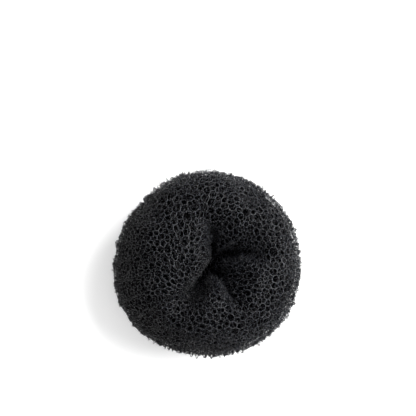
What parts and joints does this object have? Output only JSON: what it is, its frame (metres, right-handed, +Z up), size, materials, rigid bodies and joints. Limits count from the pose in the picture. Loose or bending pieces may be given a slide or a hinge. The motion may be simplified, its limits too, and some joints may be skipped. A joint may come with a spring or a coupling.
{
  "type": "hair bun maker",
  "caption": "Soft ring of rolled knitted net that a ponytail is drawn through and wrapped over to shape a bun.",
  "frame": {"origin": "on the rest plane, below the middle of the ring's outline", "axes": "+Z up through the ring, from the face it rests on; +X towards the picture's right and +Y towards the picture's top"},
  "size_m": [0.0602, 0.0576, 0.0285],
  "materials": {
    "black_net": "fine knitted nylon net, slightly glossy strands"
  },
  "bodies": {
    "root": {"net_roll": "black_net"}
  },
  "joints": []
}
